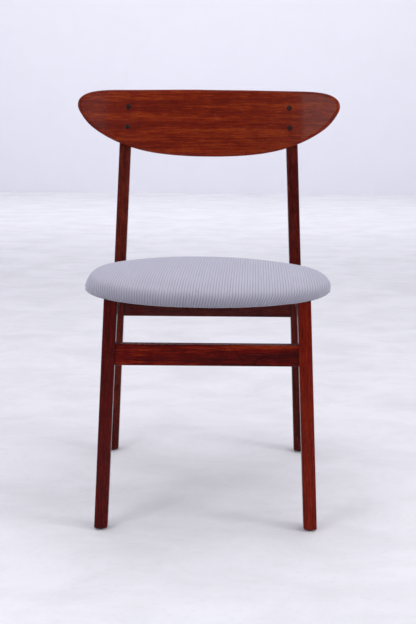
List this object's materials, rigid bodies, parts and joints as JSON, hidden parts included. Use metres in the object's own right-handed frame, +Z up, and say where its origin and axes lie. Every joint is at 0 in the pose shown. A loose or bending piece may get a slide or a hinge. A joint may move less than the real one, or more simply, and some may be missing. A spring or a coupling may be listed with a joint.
{
  "type": "dining chair",
  "caption": "Wooden dining chair with a curved half-moon backrest, a round-cornered upholstered seat, tapered legs, a front stretcher and a rear rail.",
  "frame": {"origin": "on the floor, under the middle of the chair's bounding box", "axes": "+Z up; the chair faces -Y; +X towards the left hand of a person sitting on it, and X = 0 is the plane of symmetry"},
  "size_m": [0.5382, 0.5185, 0.7825],
  "materials": {
    "frame_wood": "glossy red-brown lacquer",
    "backrest_wood": "glossy red-brown lacquer",
    "plug_wood": "dark, polished",
    "dowel_wood": "unfinished beech",
    "plywood": "unfinished",
    "foam": "open-cell foam",
    "seat_fabric": "fine-ribbed corduroy, pale grey-lavender",
    "bottom_cloth": "thin black cloth",
    "steel": "bright zinc",
    "glide_plastic": "dark nylon"
  },
  "bodies": {
    "root": {"front_leg_left": "frame_wood", "front_leg_right": "frame_wood", "rear_leg_left": "frame_wood", "rear_leg_right": "frame_wood", "side_rail_left": "frame_wood", "side_rail_right": "frame_wood", "front_stretcher": "frame_wood", "rear_rail": "frame_wood", "backrest": "backrest_wood", "side_rail_front_dowels": "dowel_wood", "side_rail_rear_dowels": "dowel_wood", "front_stretcher_dowels": "dowel_wood", "rear_rail_dowels": "dowel_wood", "backrest_screws": "steel", "backrest_plugs": "plug_wood", "seat_board": "plywood", "seat_foam": "foam", "seat_cover": "seat_fabric", "seat_bottom_cloth": "bottom_cloth", "cover_staples": "steel", "cloth_staples": "steel", "seat_screws": "steel", "seat_screw_washers": "steel", "foot_glides": "glide_plastic", "glide_nails": "steel"}
  },
  "joints": []
}
